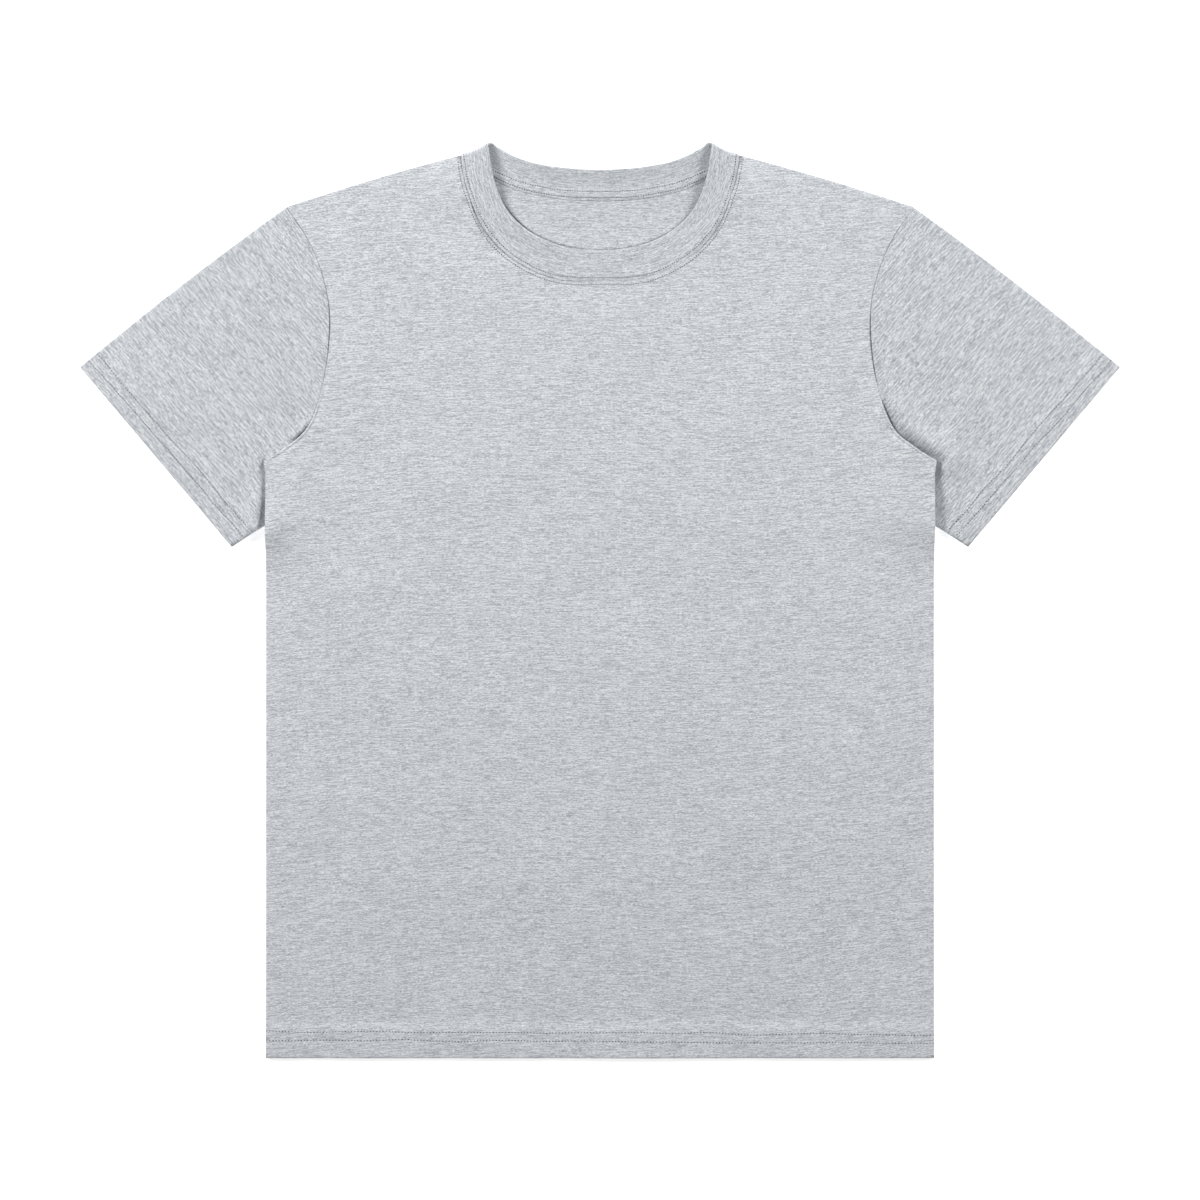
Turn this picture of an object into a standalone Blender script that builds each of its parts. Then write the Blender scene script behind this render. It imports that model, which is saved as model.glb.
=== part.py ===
"""A crew neck t-shirt of heather jersey, lying flat on its back with both sleeves spread.

Metres, +Z up. The shirt lies on the plane Z = 0 with its neck towards +Y, its hem towards -Y and
its front facing up. The origin is under the middle of its outline. Left and right are the wearer's,
so the right sleeve is the one at -X. Each piece that is cut and sewn on is one object.
"""

from collections import namedtuple
import math

import bpy
import numpy as np
from mathutils import Vector
from mathutils.geometry import closest_point_on_tri, delaunay_2d_cdt

# Cloth
CLOTH = 0.0010
GAP = 0.0003
HEM_DEPTH = 0.0225
CUFF_DEPTH = 0.0200
HEM_STEP = 0.0030

# Body, half of it from the centre line
HALF_CHEST = 0.2554
HEM_Y = -0.3502
NECK_POINT = (0.1073, 0.3401)
SHOULDER_TIP = (0.2397, 0.3005)
SHOULDER_BOW = 0.0012
UNDERARM = (0.2569, 0.1063)

# Sleeve
CUFF_TOP = (0.3976, 0.1782)
CUFF_BOTTOM = (0.2814, 0.0405)
SLEEVE_TOP_BOW = 0.0020
TUCK = (0.2294, 0.0742)
TUCK_CROSSING = (0.2554, 0.0573)
FOLD_ROUND = 0.0008

# Neckband and the tape behind it
BAND_LAYERS = 2
BAND_SHARES = (0.0, 0.2, 0.45, 0.7, 1.0)
TAPE_HALF_WIDTH = 0.0045
TAPE_END_SHARE = 0.80

# How far apart the points of the cloth are
COARSE = 0.030
FINE = 0.010
CLEAR_OF_EDGE = 0.006
ARMHOLE_STEPS = 4
LOWEST_INNER_ROW = HEM_Y + 2 * COARSE
CUFF_SHARES = (0.1, 0.2, 0.3, 0.4, 0.5, 0.6, 0.7, 0.8, 0.9)
SLEEVE_PATCH = ((0.22, 0.06), (0.40, 0.30))
ONE_POINT = 1e-5
# Where the points of half a body panel are fine: two opposite corners of each patch
FINE_PATCHES = [((0.175, 0.010), (0.255, 0.160)), ((0.075, 0.280), (0.150, 0.340))]

# The body panels climb over the part of the sleeve that is tucked under them
TUCKED_FLAT = 0.016
TUCKED_FADE = 0.034
# The front panel climbs beside the neckband, where the band lies on the tape
NECK_SIDE = (0.1040, 0.3170)
NECK_SIDE_FLAT = 0.006
NECK_SIDE_FADE = 0.034
SHOULDER_FADE = 0.018

# The armhole seam, from the shoulder tip down to the underarm
Armhole = namedtuple("Armhole", "half_width height")
ARMHOLE = [
    Armhole(0.2397, 0.3005),
    Armhole(0.2194, 0.2676),
    Armhole(0.2080, 0.2294),
    Armhole(0.2080, 0.1912),
    Armhole(0.2145, 0.1552),
    Armhole(0.2252, 0.1300),
    Armhole(0.2424, 0.1155),
    Armhole(0.2569, 0.1063),
]

# The middle of the neckband's thickness, half of it. It runs from the centre front to the fold at
# the side of the neck, then from that fold to the centre back. The seam is the band's lower edge.
Station = namedtuple("Station", "seam_x seam_y seam_z edge_x edge_y edge_z")
BAND_FRONT = [
    Station(0.0000, 0.2439, 0.0023, 0.0000, 0.2672, 0.0023),
    Station(0.0353, 0.2459, 0.0023, 0.0291, 0.2707, 0.0023),
    Station(0.0668, 0.2607, 0.0025, 0.0535, 0.2814, 0.0026),
    Station(0.0889, 0.2837, 0.0036, 0.0711, 0.2982, 0.0038),
    Station(0.1010, 0.3120, 0.0047, 0.0805, 0.3200, 0.0047),
    Station(0.1050, 0.3290, 0.0047, 0.0838, 0.3390, 0.0047),
    Station(0.1061, 0.3376, 0.0047, 0.0801, 0.3475, 0.0047),
]
BAND_BACK = [
    Station(0.1061, 0.3376, 0.0011, 0.0801, 0.3475, 0.0011),
    Station(0.0960, 0.3330, 0.0011, 0.0765, 0.3450, 0.0012),
    Station(0.0803, 0.3253, 0.0011, 0.0640, 0.3385, 0.0030),
    Station(0.0590, 0.3165, 0.0011, 0.0480, 0.3333, 0.0065),
    Station(0.0300, 0.3110, 0.0011, 0.0240, 0.3298, 0.0095),
    Station(0.0000, 0.3097, 0.0011, 0.0000, 0.3288, 0.0105),
]
BAND_CURL = 1.7
STEPS_A_STATION = 4
FOLD_STEPS = 5

JERSEY = (0.56, 0.60, 0.63, 1.0)
RIB = (0.54, 0.58, 0.61, 1.0)
TAPE = (0.55, 0.59, 0.62, 1.0)
CLOTH_ROUGHNESS = 0.9


def through(rows, steps):
    """Points along a smooth curve through the rows, so many from each row to the next."""
    rows = np.array(rows, float)
    ends = np.vstack([2 * rows[0] - rows[1], rows, 2 * rows[-1] - rows[-2]])
    line = []
    for before, start, stop, after in zip(ends, ends[1:], ends[2:], ends[3:]):
        for t in np.arange(steps) / steps:
            bend = (2 * before - 5 * start + 4 * stop - after) * t**2
            twist = (3 * start - before - 3 * stop + after) * t**3
            line.append((2 * start + (stop - before) * t + bend + twist) / 2)
    return np.array(line + [rows[-1]])


def bowed(start, stop, bow, spacing):
    """Points from start to stop, bowed out to the left of the way there."""
    start, stop = np.array(start), np.array(stop)
    way = stop - start
    left = np.array([-way[1], way[0]]) / np.linalg.norm(way)
    count = max(2, round(np.linalg.norm(way) / spacing) + 1)
    return np.array([
        start + way * t + left * bow * 4 * t * (1 - t) for t in np.linspace(0, 1, count)
    ])


def beside(line, distance):
    """The line moved to its left by a distance, each point along its own normal."""
    way = np.gradient(line, axis=0)
    left = np.column_stack([-way[:, 1], way[:, 0]])
    return line + distance * left / np.linalg.norm(left, axis=1)[:, None]


def fade(away, flat, reach):
    """1 as far as flat, then smoothly down to 0 over reach."""
    t = min(max((away - flat) / reach, 0.0), 1.0)
    return 1 - t * t * (3 - 2 * t)


def joined(*lines):
    """One closed outline from lines that follow each other, with each shared corner once."""
    outline = []
    for line in lines:
        for point in line:
            if not outline or math.dist(point, outline[-1]) > GAP / 2:
                outline.append((float(point[0]), float(point[1])))
    if math.dist(outline[0], outline[-1]) < GAP / 2:
        outline.pop()
    return outline


def inside(point, outline):
    """True if the point is in the outline and not too near it."""
    within = False
    for (ax, ay), (bx, by) in zip(outline, outline[1:] + outline[:1]):
        a, way = Vector((ax, ay)), Vector((bx - ax, by - ay))
        share = min(max((Vector(point) - a).dot(way) / way.length_squared, 0), 1)
        if (a + way * share - Vector(point)).length < CLEAR_OF_EDGE:
            return False
        if (ay > point[1]) != (by > point[1]):
            if point[0] < ax + (point[1] - ay) * (bx - ax) / (by - ay):
                within = not within
    return within


def grid(low, high, spacing):
    """Points on a square grid between two corners."""
    return [
        (x, y)
        for x in np.arange(low[0], high[0], spacing)
        for y in np.arange(low[1], high[1], spacing)
    ]


def triangles(outline, inner):
    """The outline filled with triangles on its own points and the inner ones."""
    points = [Vector(p) for p in outline + [p for p in inner if inside(p, outline)]]
    count = len(outline)
    edges = [(i, (i + 1) % count) for i in range(count)]
    found = delaunay_2d_cdt(points, edges, [], 1, ONE_POINT / 100)
    return [tuple(p) for p in found[0]], [tuple(f) for f in found[2]]


def material(name, colour):
    made = bpy.data.materials.new(name)
    made.use_nodes = True
    shader = made.node_tree.nodes["Principled BSDF"]
    shader.inputs["Base Color"].default_value = colour
    shader.inputs["Roughness"].default_value = CLOTH_ROUGHNESS
    shader.inputs["Metallic"].default_value = 0.0
    return made


def cloth(name, vertices, faces, look, layers=None):
    """An object from an open surface, its faces all turned one way."""
    mesh = bpy.data.meshes.new(name)
    mesh.from_pydata(vertices, [], faces)
    mesh.validate()
    mesh.materials.append(look)
    made = bpy.data.objects.new(name, mesh)
    shirt.objects.link(made)
    if layers is not None:
        group = made.vertex_groups.new(name="layers")
        for index, share in enumerate(layers):
            group.add([index], share, "REPLACE")
    return made


def mirrored(made):
    half = made.modifiers.new("other half", "MIRROR")
    half.use_clip = True
    half.merge_threshold = ONE_POINT


def wall(made, thickness, offset):
    """Gives an open surface its thickness, less where the group layers says so."""
    shell = made.modifiers.new("wall", "SOLIDIFY")
    shell.thickness = thickness
    shell.offset = offset
    shell.use_even_offset = True
    if made.vertex_groups:
        shell.vertex_group = "layers"


def tucked_lift(x, y):
    """How far the sleeve that is tucked under the body lifts it."""
    corners = [Vector((*corner, 0)) for corner in (UNDERARM, TUCK, TUCK_CROSSING)]
    point = Vector((abs(x), y, 0))
    away = (closest_point_on_tri(point, *corners) - point).length
    return (2 * CLOTH + 2 * GAP) * fade(away, TUCKED_FLAT, TUCKED_FADE)


def neck_lift(x, y):
    """How far the front panel climbs to the neckband, which lies on the tape at each side."""
    away = math.dist((abs(x), y), NECK_SIDE)
    slope = (NECK_POINT[1] - SHOULDER_TIP[1]) / (SHOULDER_TIP[0] - NECK_POINT[0])
    below_shoulder = NECK_POINT[1] - slope * (abs(x) - NECK_POINT[0]) - y
    climb = fade(away, NECK_SIDE_FLAT, NECK_SIDE_FADE) * (1 - fade(below_shoulder, 0, SHOULDER_FADE))
    return (2 * CLOTH + GAP) * climb


def body_layers(y):
    """2 in the hem, where the cloth is turned up, and 1 above it."""
    return 1 + fade(y - HEM_Y, HEM_DEPTH, HEM_STEP)


def back_underside(x, y):
    return tucked_lift(x, y)


def front_underside(x, y):
    return tucked_lift(x, y) + CLOTH * body_layers(y) + GAP + neck_lift(x, y)


def body_outline(neck):
    """Half a body panel, anticlockwise from the centre of the hem."""
    hem = bowed((0, HEM_Y), (HALF_CHEST, HEM_Y), 0, COARSE)
    steps = [(HALF_CHEST, HEM_Y + HEM_DEPTH), (HALF_CHEST, HEM_Y + HEM_DEPTH + HEM_STEP)]
    side = bowed((HALF_CHEST, LOWEST_INNER_ROW), (HALF_CHEST, 0), 0, COARSE)
    under = bowed((HALF_CHEST, 0), (HALF_CHEST, UNDERARM[1] - FINE), 0, FINE)
    armhole = through(ARMHOLE, ARMHOLE_STEPS)[::-1]
    shoulder = bowed(SHOULDER_TIP, NECK_POINT, -SHOULDER_BOW, COARSE / 2)
    centre = bowed((0, neck[-1][1]), (0, LOWEST_INNER_ROW), 0, COARSE)
    low = [(0, HEM_Y + HEM_DEPTH + HEM_STEP), (0, HEM_Y + HEM_DEPTH)]
    return joined(hem, steps, side, under, armhole, shoulder, neck, centre, low)


def body_points():
    """The points inside a body panel, closer together where it climbs."""
    hem = [
        (x, HEM_Y + HEM_DEPTH + rise)
        for x in np.arange(COARSE, HALF_CHEST - CLEAR_OF_EDGE, COARSE)
        for rise in (0, HEM_STEP)
    ]
    fine = [p for low, high in FINE_PATCHES for p in grid(low, high, FINE)]
    plain = [
        (x, y)
        for x, y in grid((COARSE, LOWEST_INNER_ROW), (HALF_CHEST, NECK_POINT[1]), COARSE)
        if not any(
            low[0] - FINE / 2 < x < high[0] and low[1] - FINE / 2 < y < high[1]
            for low, high in FINE_PATCHES
        )
    ]
    return hem + fine + plain


def body_panel(name, neck, underside):
    points, faces = triangles(body_outline(neck), body_points())
    vertices = [(x, y, underside(x, y)) for x, y in points]
    layers = [body_layers(y) / 2 for x, y in points]
    panel = cloth(name, vertices, faces, jersey, layers)
    mirrored(panel)
    wall(panel, 2 * CLOTH, 1)


def inward_from_cuff():
    """The direction from the cuff's edge into the sleeve, square to the edge."""
    way = Vector(CUFF_TOP) - Vector(CUFF_BOTTOM)
    return Vector((-way.y, way.x)).normalized()


def sleeve_layers(point):
    """2 in the cuff's hem, where the cloth is turned in, and 1 above it."""
    depth = (Vector(point) - Vector(CUFF_BOTTOM)).dot(inward_from_cuff())
    return 1 + fade(depth, CUFF_DEPTH, HEM_STEP)


def sleeve(name, side):
    """A flattened tube: two layers of cloth joined by a fold along the top and one under the arm."""
    armhole = beside(through(ARMHOLE, ARMHOLE_STEPS), GAP)
    to_tuck = bowed(armhole[-1], TUCK, 0, FINE)
    under_fold = np.vstack([to_tuck[:-1], bowed(TUCK, CUFF_BOTTOM, 0, COARSE / 2)])
    cuff = bowed(CUFF_BOTTOM, CUFF_TOP, 0, COARSE / 2)
    top_fold = bowed(CUFF_TOP, armhole[0], -SLEEVE_TOP_BOW, COARSE / 2)
    outline = joined(under_fold, cuff, top_fold, armhole)
    hem = [
        tuple(Vector(CUFF_BOTTOM).lerp(CUFF_TOP, share) + inward_from_cuff() * depth)
        for share in CUFF_SHARES
        for depth in (CUFF_DEPTH, CUFF_DEPTH + HEM_STEP)
    ]
    plain = [p for p in grid(*SLEEVE_PATCH, COARSE) if sleeve_layers(p) == 1]
    points, flat = triangles(outline, hem + plain)

    # The folds are round: the layers stop short of the outline, and a row of points lies on it.
    folds = []
    for line in (under_fold, top_fold):
        keys = [tuple(map(float, point)) for point in line]
        folds.append(dict(zip(keys, beside(line, FOLD_ROUND))))
    count = len(points)
    places = [next((fold[p] for fold in folds if p in fold), p) for p in outline]
    places += points[len(outline):]
    tops = [2 * CLOTH * sleeve_layers(p) + GAP for p in points]
    vertices = [(side * x, y, 0.0) for x, y in places]
    vertices += [(side * x, y, top) for (x, y), top in zip(places, tops)]
    faces = [f[::-1] for f in flat] + [tuple(i + count for i in f) for f in flat]
    middles = {}
    for index, (x, y) in enumerate(outline):
        if any((x, y) in fold for fold in folds):
            middles[index] = len(vertices)
            vertices.append((side * x, y, tops[index] / 2))
    for a, point in enumerate(outline):
        b = (a + 1) % len(outline)
        if any(point in fold and outline[b] in fold for fold in folds):
            faces.append((a, b, middles[b], middles[a]))
            faces.append((middles[a], middles[b], b + count, a + count))
    shares = [sleeve_layers(p) / 2 for p in points] * 2
    shares += [sleeve_layers(points[i]) / 2 for i in middles]
    made = cloth(name, vertices, [f[::side] for f in faces], jersey, shares)
    wall(made, 2 * CLOTH, -1)


def band_half():
    """The neckband's middle surface: rows of points across it, from centre front to centre back."""
    front = through(BAND_FRONT, STEPS_A_STATION)
    back = through(BAND_BACK, STEPS_A_STATION)
    seam, edge = Vector(front[-1][:3]), Vector(front[-1][3:])
    radius = (front[-1][2] - back[0][2]) / 2
    out = Vector((edge.y - seam.y, seam.x - edge.x, 0)).normalized()
    fold = []
    for turn in np.linspace(0, math.pi, FOLD_STEPS + 2)[1:-1]:
        shift = out * math.sin(turn) * radius + Vector((0, 0, math.cos(turn) - 1)) * radius
        fold.append([*(seam + shift), *(edge + shift)])
    stations = np.vstack([front, fold, back])
    rows = []
    for station in stations:
        seam, edge = Vector(station[:3]), Vector(station[3:])
        row = []
        for share in BAND_SHARES:
            point = seam.lerp(edge, share)
            point.z = seam.z + (edge.z - seam.z) * share**BAND_CURL
            row.append(point)
        rows.append(row)
    return rows


def strip(name, rows, look, thickness):
    """A strip of cloth from rows of points across it, mirrored and given its thickness."""
    across = len(rows[0])
    vertices = [tuple(point) for row in rows for point in row]
    for index in (*range(across), *range(len(vertices) - across, len(vertices))):
        if abs(vertices[index][0]) < GAP:
            vertices[index] = (0.0, *vertices[index][1:])
    faces = [
        (r * across + c, (r + 1) * across + c, (r + 1) * across + c + 1, r * across + c + 1)
        for r in range(len(rows) - 1)
        for c in range(across - 1)
    ]
    made = cloth(name, vertices, faces, look)
    mirrored(made)
    wall(made, thickness, 0)
    for face in made.data.polygons:
        face.use_smooth = True


def collar():
    strip("collar", band_half(), rib, BAND_LAYERS * CLOTH)


def neck_tape():
    """The tape lies half on the neckband and half on the back panel, moved out from both."""
    back = band_half()[-(len(BAND_BACK) - 1) * STEPS_A_STATION - 1:]
    back = back[round(len(back) * (1 - TAPE_END_SHARE)):]
    out_of_band = Vector((0, 0, BAND_LAYERS * CLOTH / 2 + GAP + CLOTH / 2))
    rows = []
    for seam, above, *_ in back:
        up = Vector((above.x - seam.x, above.y - seam.y, 0)).normalized()
        low = Vector((seam.x, seam.y, CLOTH + GAP + CLOTH / 2)) - up * TAPE_HALF_WIDTH
        rows.append([low, seam + out_of_band, above + out_of_band])
    strip("neck_tape", rows, tape, CLOTH)


for leftover in list(bpy.data.objects):
    bpy.data.objects.remove(leftover)

shirt = bpy.data.collections.new("crew_neck_t_shirt")
bpy.context.scene.collection.children.link(shirt)
jersey = material("heather jersey", JERSEY)
rib = material("heather rib", RIB)
tape = material("self fabric tape", TAPE)

half_band = np.array([[*row[0]][:2] for row in band_half()])
front_seam = half_band[:(len(BAND_FRONT) - 1) * STEPS_A_STATION + 1]
back_seam = half_band[-(len(BAND_BACK) - 1) * STEPS_A_STATION - 1:]
front_neck = np.vstack([NECK_POINT, beside(front_seam, -GAP)[::-1]])
back_neck = np.vstack([NECK_POINT, beside(back_seam, GAP)])
body_panel("back", back_neck, back_underside)
body_panel("front", front_neck, front_underside)
sleeve("sleeve_right", -1)
sleeve("sleeve_left", 1)
collar()
neck_tape()
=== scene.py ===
"""The looks of a crew neck t-shirt of heather jersey, lying flat on its back with its sleeves spread.

Metres, +Z up, in the CAD's frame: the shirt lies on Z = 0, its neck towards +Y and its front up.
Left and right are the wearer's, so the right sleeve is the one at -X.
"""

from collections import namedtuple
import math

import bpy
import numpy as np
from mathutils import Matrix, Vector
from mathutils.geometry import delaunay_2d_cdt
from mathutils.kdtree import KDTree


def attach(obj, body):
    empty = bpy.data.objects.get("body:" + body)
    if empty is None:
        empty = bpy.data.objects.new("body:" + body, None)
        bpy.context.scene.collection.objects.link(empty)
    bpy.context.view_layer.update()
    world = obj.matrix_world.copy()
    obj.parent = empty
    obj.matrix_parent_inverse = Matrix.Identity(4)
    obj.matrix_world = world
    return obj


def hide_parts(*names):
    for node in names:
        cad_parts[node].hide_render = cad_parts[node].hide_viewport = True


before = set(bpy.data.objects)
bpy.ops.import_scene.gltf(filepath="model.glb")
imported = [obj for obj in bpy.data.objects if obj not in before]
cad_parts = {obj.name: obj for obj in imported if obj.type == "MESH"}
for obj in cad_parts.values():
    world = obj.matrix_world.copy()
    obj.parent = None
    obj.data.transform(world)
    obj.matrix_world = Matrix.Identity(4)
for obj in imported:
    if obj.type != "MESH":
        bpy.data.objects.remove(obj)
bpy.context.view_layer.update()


# ---- Front panel ----------------------------------------------------------------------------
# The front of the body is one piece of single jersey, knitted from a mix of pale and dark fibres.
# It is sewn to the back along the shoulders and sides. Its lower edge is turned up inside and held
# by a twin row of coverstitch, and its neck edge is sewn to the neckband.

# One layer's thickness, the air between pieces that lie on each other, and between sewn edges
CLOTH = 0.0008
GAP = 0.0003
SEAM = 0.00003

# The body's outline, whose shoulder seams bow out a little, and the depth of its hem
HALF_CHEST = 0.2554
HEM_Y = -0.3502
HEM_DEPTH = 0.0225
HEM_STEP = 0.0045
SIDE_SEAM_TOP = 0.0963
NECK_POINT = (0.1073, 0.3401)
SHOULDER_BOW = 0.0012
BOW_POINTS = 40

# How far apart a mesh's points lie, how high each row of them stands as a share of that, and the
# shares of a spacing, and of an edge row's depth, that they keep clear of other lines
SPACING = 0.0036
ROW_HEIGHT = 0.866
CLEAR = 0.62
ROW_CLEAR = 0.8
SAME_POINT = 1e-7
TRIANGLES_INSIDE = 1
EDGE_ROWS = (0.0004, 0.0008, 0.0013, 0.0018, 0.0024, 0.0032)
EDGE_ROUND = 0.0018
EDGE_DROP = 0.00045

# The armhole seam, from the shoulder tip down to the underarm
Armhole = namedtuple("Armhole", "half_width height")
ARMHOLE = [
    Armhole(0.2397, 0.3005),
    Armhole(0.2194, 0.2676),
    Armhole(0.2080, 0.2294),
    Armhole(0.2080, 0.1912),
    Armhole(0.2145, 0.1552),
    Armhole(0.2252, 0.1300),
    Armhole(0.2424, 0.1155),
    Armhole(0.2569, 0.1063),
]
SHOULDER_TIP = ARMHOLE[0]
UNDERARM = ARMHOLE[-1]

# The sleeve's corner that is tucked under the body, and where its edge crosses the side seam
TUCK = (0.2294, 0.0742)
TUCK_CROSSING = (0.2554, 0.0573)
TUCKED_FLAT = 0.012
TUCKED_FADE = 0.034

# The middle of the neckband's thickness, half of it. It runs from the centre front to the fold at
# the side of the neck, then from that fold to the centre back. The seam is the band's lower edge.
Station = namedtuple("Station", "seam_x seam_y seam_z edge_x edge_y edge_z")
MIRRORED = (-1, 1, 1, -1, 1, 1)
BAND_FRONT = [
    Station(0.0000, 0.2439, 0.0019, 0.0000, 0.2672, 0.0030),
    Station(0.0353, 0.2459, 0.0020, 0.0291, 0.2707, 0.0032),
    Station(0.0668, 0.2607, 0.0024, 0.0535, 0.2814, 0.0037),
    Station(0.0889, 0.2837, 0.0036, 0.0711, 0.2982, 0.0050),
    Station(0.1010, 0.3120, 0.0047, 0.0805, 0.3200, 0.0080),
    Station(0.1050, 0.3290, 0.0047, 0.0841, 0.3390, 0.0100),
    Station(0.1061, 0.3384, 0.0047, 0.0852, 0.3464, 0.0102),
]
BAND_BACK = [
    Station(0.1061, 0.3384, 0.0011, 0.0806, 0.3480, 0.0040),
    Station(0.0960, 0.3330, 0.0011, 0.0765, 0.3450, 0.0042),
    Station(0.0803, 0.3253, 0.0011, 0.0640, 0.3385, 0.0046),
    Station(0.0590, 0.3165, 0.0011, 0.0480, 0.3333, 0.0050),
    Station(0.0300, 0.3110, 0.0011, 0.0240, 0.3298, 0.0052),
    Station(0.0000, 0.3097, 0.0011, 0.0000, 0.3288, 0.0053),
]
STEPS_A_STATION = 12
FOLD_STEPS = 7

# How the front climbs to the band at the side of the neck, and all along the neck seam
NECK_SIDE = (0.1040, 0.3170)
NECK_SIDE_FLAT = 0.006
NECK_SIDE_FADE = 0.034
NECK_SIDE_CLIMB = 0.0026
NECK_SEAM_CLIMB = 0.0005
NECK_SEAM_REACH = 0.0070
SHOULDER_FADE = 0.009

# Coverstitch: two rows of thread, each lying in the groove that it pulls in the cloth
HEM_ROWS = (0.0128, 0.0193)
HEM_DRIFT = 0.0012
HEM_WANDER = 0.0004
HEM_WANDER_LENGTH = 0.06
HEM_ROW_FINENESS = 4
ROW_REACH = 0.0009
GROOVE_DEPTH = 0.00008
GROOVE_WIDTH = 0.0007
NECK_ROW = 0.0027

# Soft waves over the whole panel, and puckers along the hem, each a typical length and height.
# Puckers are longer across the hem. Each set of waves adds up many of nearly one length.
WAVES = ((0.110, 0.00030), (0.045, 0.00010), (0.016, 0.00003))
PUCKERS = (0.0075, 0.00010)
PUCKER_STRETCH = 0.35
WAVE_COUNT = 24
WAVE_SPREAD = (0.7, 1.5)
DEEPEST_TROUGH = -0.0006

# Between broad places where the front lies down, it stands up a little
STAND_LENGTH = 0.2
STAND_RISE = 0.00035
STAND_FLAT = 0.2
STAND_FADE = 2.0

# The air between the front and the back, none at the neck seam, and how softly troughs rest
FRONT_AIR = 0.0003
FRONT_AIR_FADE = 0.015
REST_SOFTNESS = 0.00005

# Creases, each a soft ridge (or trough, where its rise is below nought) across the front
Crease = namedtuple("Crease", "x y turn length width rise")
CREASE_BEND = 0.4
FRONT_CREASES = [
    Crease(0.184, -0.088, -32, 0.038, 0.0050, -0.00050),
    Crease(0.196, -0.078, -30, 0.030, 0.0040, 0.00035),
    Crease(0.031, -0.006, -20, 0.018, 0.0035, -0.00030),
    Crease(0.058, -0.130, 88, 0.030, 0.0050, -0.00030),
    Crease(-0.214, 0.078, 62, 0.036, 0.0120, -0.00110),
    Crease(-0.226, 0.100, 40, 0.020, 0.0040, 0.00040),
    Crease(0.200, 0.236, 75, 0.030, 0.0070, -0.00040),
    Crease(0.176, 0.275, -42, 0.030, 0.0060, -0.00035),
    Crease(-0.060, -0.215, 8, 0.045, 0.0060, 0.00030),
    Crease(0.110, -0.262, -6, 0.060, 0.0070, 0.00030),
    Crease(-0.150, 0.020, 14, 0.040, 0.0080, 0.00030),
    Crease(0.092, 0.120, 10, 0.050, 0.0090, 0.00025),
]

# The seam allowance under a seam raises a fine double ridge beside it
Ridge = namedtuple("Ridge", "distance width rise")
SEAM_RIDGES = [
    Ridge(0.0000, 0.0005, -0.00016),
    Ridge(0.0012, 0.0006, 0.00016),
    Ridge(0.0025, 0.0005, -0.00014),
    Ridge(0.0038, 0.0009, 0.00010),
]

# The ridges are stronger under the arms. At the neck they are clear only on the -X side
RIDGES_UNDER_ARM = 1.8
UNDER_ARM_Y = 0.140
UNDER_ARM_FADE = 0.025
NECK_SEAM_FAINT = 0.1
NECK_SEAM_CLEAR_X = -0.078
NECK_SEAM_FADE = 0.035

# Where the body's edge stands up over the sleeves at the underarms
Lift = namedtuple("Lift", "x y reach rise")
UNDERARM_LIFTS = [
    Lift(-0.262, 0.074, 0.036, 0.0018),
    Lift(-0.255, 0.055, 0.016, 0.0060),
    Lift(-0.2283, 0.1268, 0.0080, 0.0018),
    Lift(0.262, 0.080, 0.042, 0.0034),
    Lift(0.255, 0.060, 0.018, 0.0044),
    Lift(0.251, 0.104, 0.013, 0.0014),
    Lift(0.236, 0.121, 0.013, 0.0022),
    Lift(0.221, 0.141, 0.012, 0.0020),
]

# How steeply the courses climb towards each side of the body, beyond a width where they are level
COURSE_LEVEL = 0.07
COURSE_CLIMB = ((-1, -0.35), (1, 0.42))


def through(rows, steps):
    """Points along a smooth curve through the rows, so many from each row to the next."""
    rows = np.array(rows, float)
    ends = np.vstack([2 * rows[0] - rows[1], rows, 2 * rows[-1] - rows[-2]])
    line = []
    for before, start, stop, after in zip(ends, ends[1:], ends[2:], ends[3:]):
        for t in np.arange(steps) / steps:
            bend = (2 * before - 5 * start + 4 * stop - after) * t**2
            twist = (3 * start - before - 3 * stop + after) * t**3
            line.append((2 * start + (stop - before) * t + bend + twist) / 2)
    return np.array(line + [rows[-1]])


def lengths(line):
    """How far along a line each of its points is."""
    return np.concatenate([[0], np.cumsum(np.linalg.norm(np.diff(line, axis=0), axis=1))])


def evenly(line, spacing):
    """The line with its points evenly spaced and its ends kept."""
    line = np.array(line, float)
    along = lengths(line)
    at = np.linspace(0, along[-1], max(2, round(along[-1] / spacing) + 1))
    return np.column_stack([np.interp(at, along, column) for column in line.T])


def bowed(start, stop, bow):
    """Points from start to stop, bowed out to the left of the way there."""
    way = np.subtract(stop, start)
    left = np.array([-way[1], way[0]]) / np.linalg.norm(way)
    share = np.linspace(0, 1, BOW_POINTS)[:, None]
    return start + way * share + left * bow * 4 * share * (1 - share)


def beside(line, distance):
    """The line moved to its left by a distance, each point along its own normal."""
    way = np.gradient(line[:, :2], axis=0)
    left = np.column_stack([-way[:, 1], way[:, 0]])
    return line[:, :2] + distance * left / np.linalg.norm(left, axis=1)[:, None]


def fade(away, flat, reach):
    """1 as far as flat, then smoothly down to 0 over reach."""
    t = np.clip((away - flat) / reach, 0, 1)
    return 1 - t * t * (3 - 2 * t)


def away(points, line):
    """How far each point is from a line."""
    least = np.full(len(points), np.inf)
    for start, stop in zip(line, line[1:]):
        way = stop - start
        share = np.clip((points - start) @ way / (way @ way), 0, 1)
        least = np.minimum(least, np.linalg.norm(points - start - share[:, None] * way, axis=1))
    return least


def inside(points, outline):
    """True for each point that is within the outline."""
    within = np.zeros(len(points), bool)
    x, y = points.T
    for (ax, ay), (bx, by) in zip(outline, np.roll(outline, -1, axis=0)):
        if ay != by:
            crossed = (ay > y) != (by > y)
            within ^= crossed & (x < ax + (y - ay) * (bx - ax) / (by - ay))
    return within


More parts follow.
